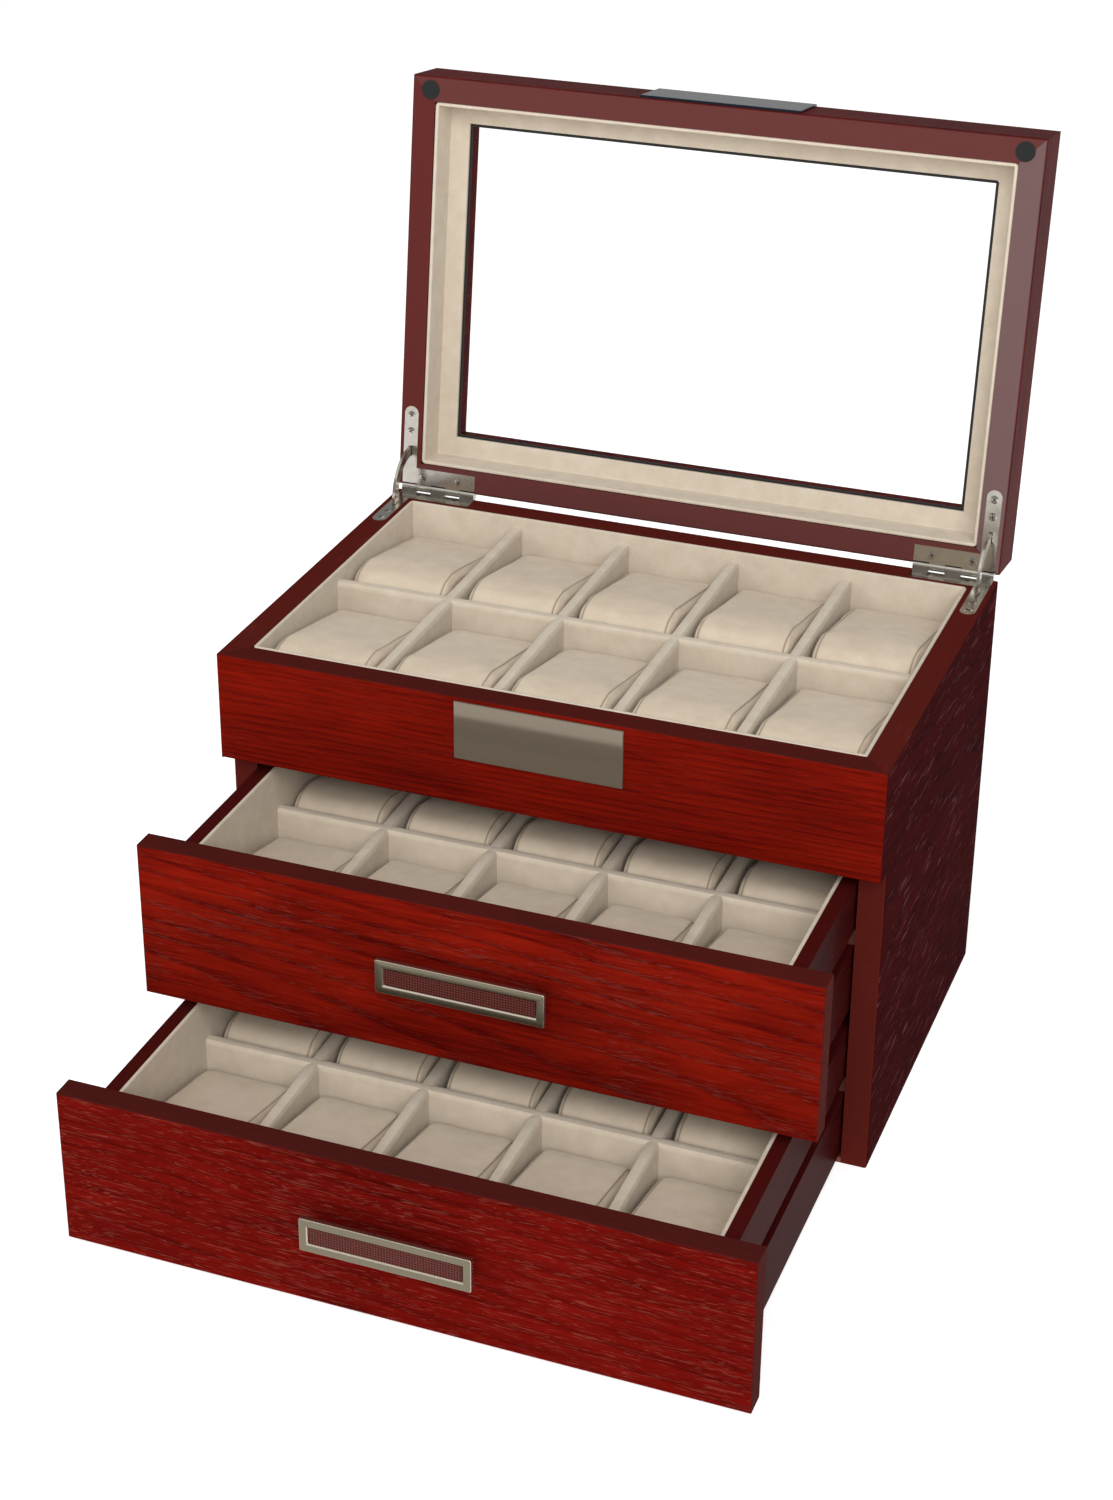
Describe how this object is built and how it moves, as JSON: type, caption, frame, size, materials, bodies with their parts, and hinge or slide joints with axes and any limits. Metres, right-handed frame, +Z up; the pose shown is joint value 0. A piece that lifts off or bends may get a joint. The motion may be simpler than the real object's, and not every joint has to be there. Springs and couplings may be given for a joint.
{
  "type": "watch box with drawers",
  "caption": "Wooden watch box with a glazed hinged lid, a padded top tray and two padded drawers that slide out on side runners.",
  "frame": {"origin": "middle of the case's base, on the table", "axes": "+X to the viewer's right, +Y to the back, +Z up; the drawers pull out along -Y"},
  "size_m": [0.335, 0.4724, 0.4491],
  "materials": {
    "cherry_wood": "satin",
    "dark_wood": "satin",
    "inner_wood": "plain",
    "name_plate_metal": "brushed",
    "satin_nickel": "satin",
    "bright_steel": "polished",
    "leather_insert": "grained",
    "lining_suede": "napped",
    "pillow_suede": "napped",
    "clear_glass": "clear",
    "bumper_rubber": "dull"
  },
  "bodies": {
    "case": {"back_panel": "cherry_wood", "bottom_panel": "inner_wood", "hinge_case_leaf_left": "bright_steel", "hinge_case_leaf_right": "bright_steel", "name_plate": "name_plate_metal", "runner_lower_left": "inner_wood", "runner_lower_right": "inner_wood", "runner_upper_left": "inner_wood", "runner_upper_right": "inner_wood", "side_panel_left": "cherry_wood", "side_panel_right": "cherry_wood", "top_front_panel": "cherry_wood", "top_pillow_back_1": "pillow_suede", "top_pillow_back_2": "pillow_suede", "top_pillow_back_3": "pillow_suede", "top_pillow_back_4": "pillow_suede", "top_pillow_back_5": "pillow_suede", "top_pillow_front_1": "pillow_suede", "top_pillow_front_2": "pillow_suede", "top_pillow_front_3": "pillow_suede", "top_pillow_front_4": "pillow_suede", "top_pillow_front_5": "pillow_suede", "top_tray_dividers": "lining_suede", "top_tray_lining": "lining_suede", "tray_shelf": "inner_wood"},
    "lid": {"bumper_left": "bumper_rubber", "bumper_right": "bumper_rubber", "hinge_lid_leaf_left": "bright_steel", "hinge_lid_leaf_right": "bright_steel", "lid_back_rail": "cherry_wood", "lid_front_rail": "cherry_wood", "lid_glass": "clear_glass", "lid_left_rail": "cherry_wood", "lid_lining": "lining_suede", "lid_plate": "name_plate_metal", "lid_right_rail": "cherry_wood"},
    "stay_left": {"hinge_stay_left": "bright_steel"},
    "stay_right": {"hinge_stay_right": "bright_steel"},
    "upper_drawer": {"upper_drawer_back": "dark_wood", "upper_drawer_bottom": "dark_wood", "upper_drawer_dividers": "lining_suede", "upper_drawer_front": "cherry_wood", "upper_drawer_lining": "lining_suede", "upper_drawer_pillows_back": "pillow_suede", "upper_drawer_pillows_front": "pillow_suede", "upper_drawer_side_left": "dark_wood", "upper_drawer_side_right": "dark_wood", "upper_handle": "satin_nickel", "upper_handle_insert": "leather_insert"},
    "lower_drawer": {"lower_drawer_back": "dark_wood", "lower_drawer_bottom": "dark_wood", "lower_drawer_dividers": "lining_suede", "lower_drawer_front": "cherry_wood", "lower_drawer_lining": "lining_suede", "lower_drawer_pillows_back": "pillow_suede", "lower_drawer_pillows_front": "pillow_suede", "lower_drawer_side_left": "dark_wood", "lower_drawer_side_right": "dark_wood", "lower_handle": "satin_nickel", "lower_handle_insert": "leather_insert"}
  },
  "joints": [
    {"name": "lid_hinge", "type": "hinge", "parent": "case", "child": "lid", "pos_m": [0, 0.112, 0.227], "axis": [-1, 0, 0], "range_deg": [-97.7, 0]},
    {"name": "stay_left_turn", "type": "hinge", "parent": "case", "child": "stay_left", "pos_m": [0, 0.112, 0.227], "axis": [-1, 0, 0], "range_deg": [-48.85, 0]},
    {"name": "stay_right_turn", "type": "hinge", "parent": "case", "child": "stay_right", "pos_m": [0, 0.112, 0.227], "axis": [-1, 0, 0], "range_deg": [-48.85, 0]},
    {"name": "upper_drawer_slide", "type": "slide", "parent": "case", "child": "upper_drawer", "axis": [0, -1, 0], "range_m": [-0.09, 0.092]},
    {"name": "lower_drawer_slide", "type": "slide", "parent": "case", "child": "lower_drawer", "axis": [0, -1, 0], "range_m": [-0.178, 0.004]}
  ],
  "couplings": [
    {"joint": "stay_left_turn", "follows": "lid_hinge", "ratio": 0.5},
    {"joint": "stay_right_turn", "follows": "lid_hinge", "ratio": 0.5}
  ]
}
